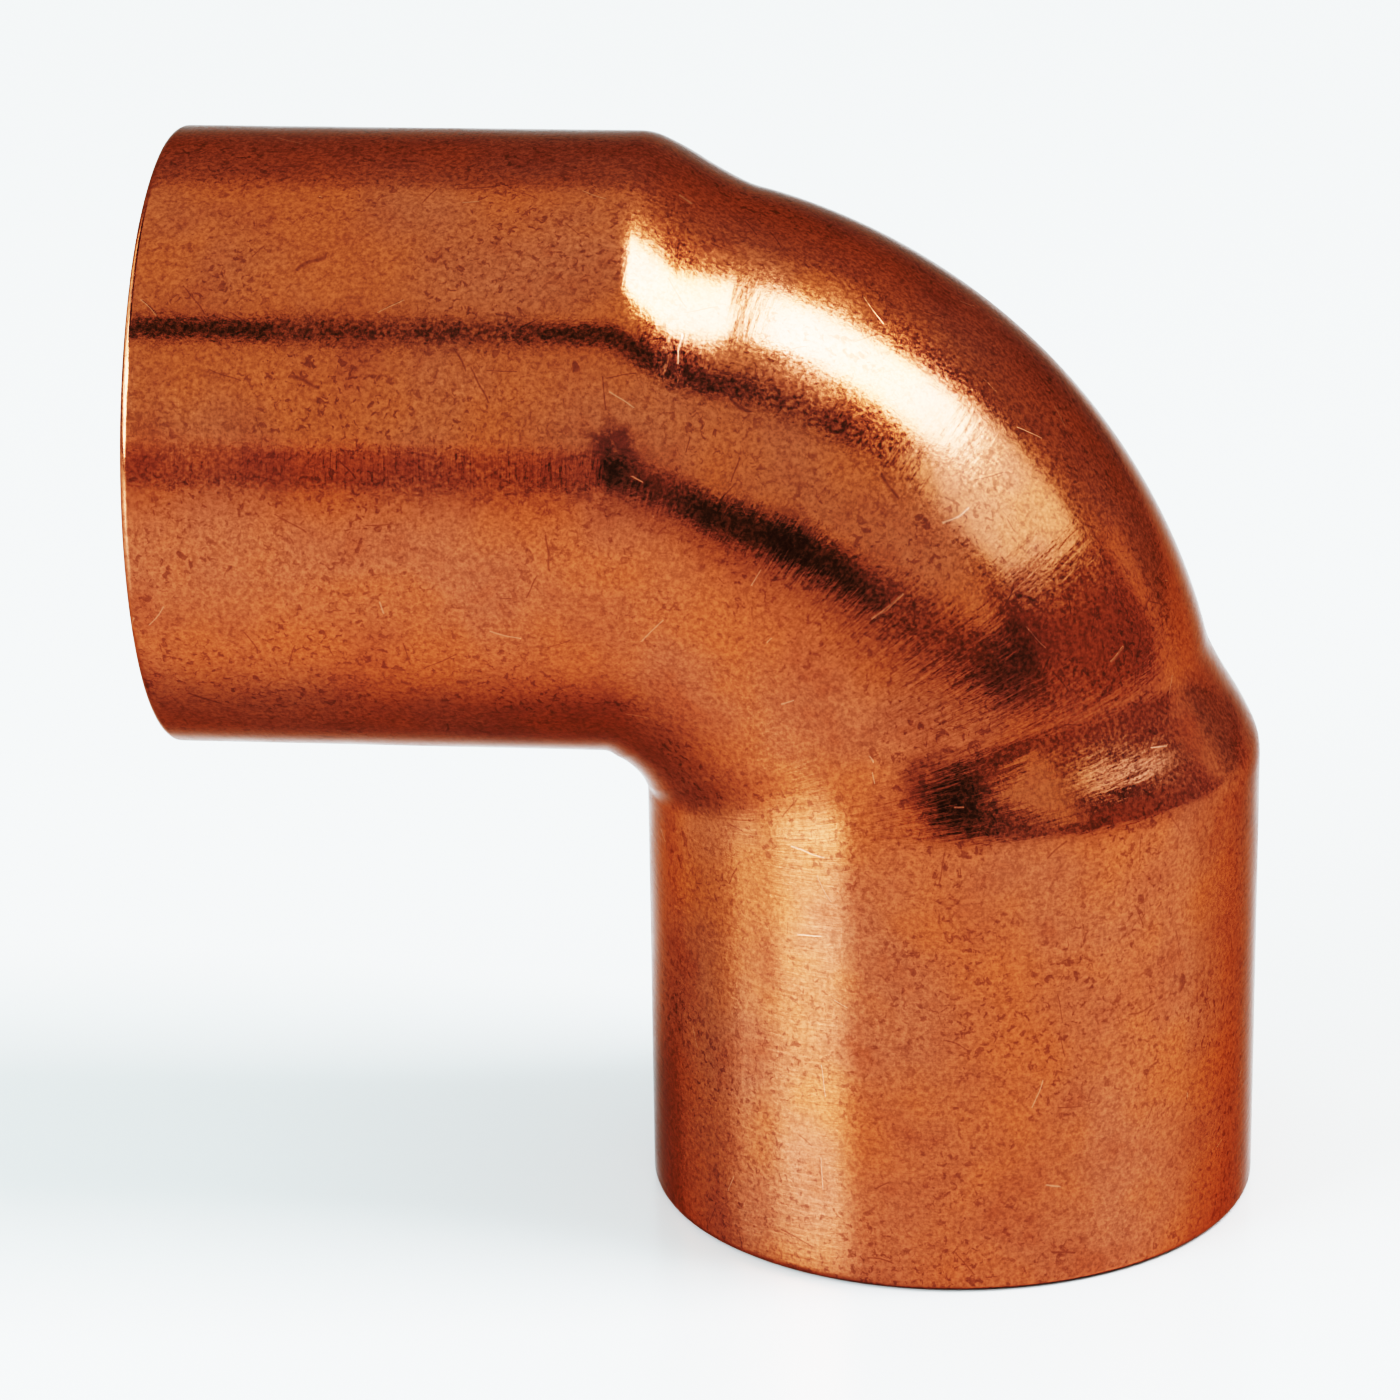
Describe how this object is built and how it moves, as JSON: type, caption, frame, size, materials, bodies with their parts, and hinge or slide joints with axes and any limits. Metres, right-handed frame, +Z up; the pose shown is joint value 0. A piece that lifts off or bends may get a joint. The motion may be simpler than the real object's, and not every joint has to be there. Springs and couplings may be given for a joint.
{
  "type": "copper pipe elbow",
  "caption": "Wrot copper 90 degree elbow for soldering onto tube, with a straight plain socket on each end and a tight bend between narrow shoulders.",
  "frame": {"origin": "middle of the bounding box's underside, at the level of the lower socket's end face. The cups' axes cross at (0.006625, 0, 0.022)", "axes": "+Z up: the lower socket opens towards -Z and the part stands on it. The side socket opens towards -X. Y runs across the bend, and the part is symmetric about Y = 0"},
  "size_m": [0.0308, 0.0176, 0.0308],
  "materials": {
    "copper": null
  },
  "bodies": {
    "root": {"elbow_body": "copper"}
  },
  "joints": []
}
